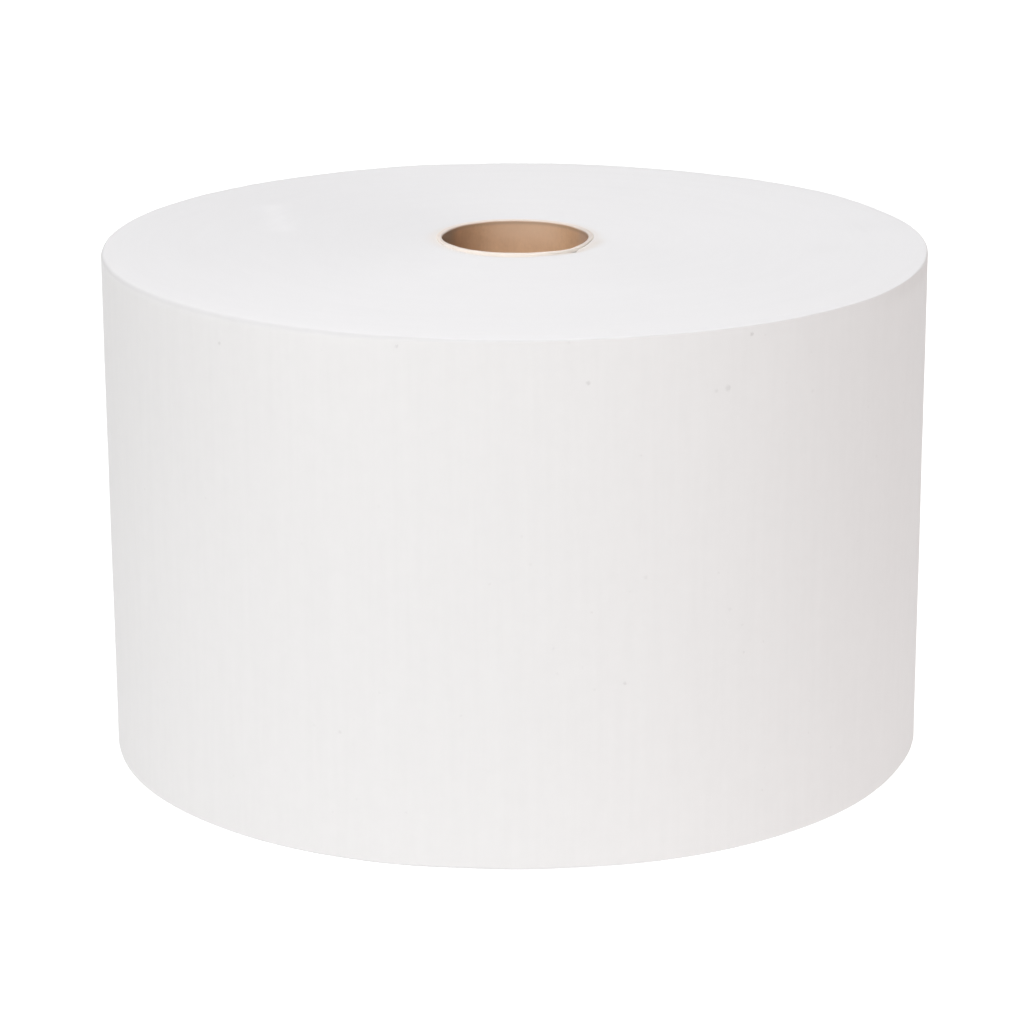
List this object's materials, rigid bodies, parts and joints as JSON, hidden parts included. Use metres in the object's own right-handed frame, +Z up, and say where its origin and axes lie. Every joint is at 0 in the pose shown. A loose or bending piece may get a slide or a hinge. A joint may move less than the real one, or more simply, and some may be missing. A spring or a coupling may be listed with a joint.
{
  "type": "industrial wiper roll",
  "caption": "Large roll of plain white wiping paper wound on an open board tube, standing on its end, to hang on a stand or wall dispenser's arbor.",
  "frame": {"origin": "on the roll's axis, in the plane that the lower end rests on", "axes": "+Z up along the roll's axis, -Y towards the front of the picture, +X to the right; the web's free edge is at the back"},
  "size_m": [0.3957, 0.3957, 0.248],
  "materials": {
    "wiper_paper": "matt creped tissue, white, with a few dark fibre specks",
    "core_board": "matt brown spiral-wound board, pale on its outer ply and cut ends"
  },
  "bodies": {
    "root": {"wound_web": "wiper_paper", "core_tube": "core_board"}
  },
  "joints": []
}
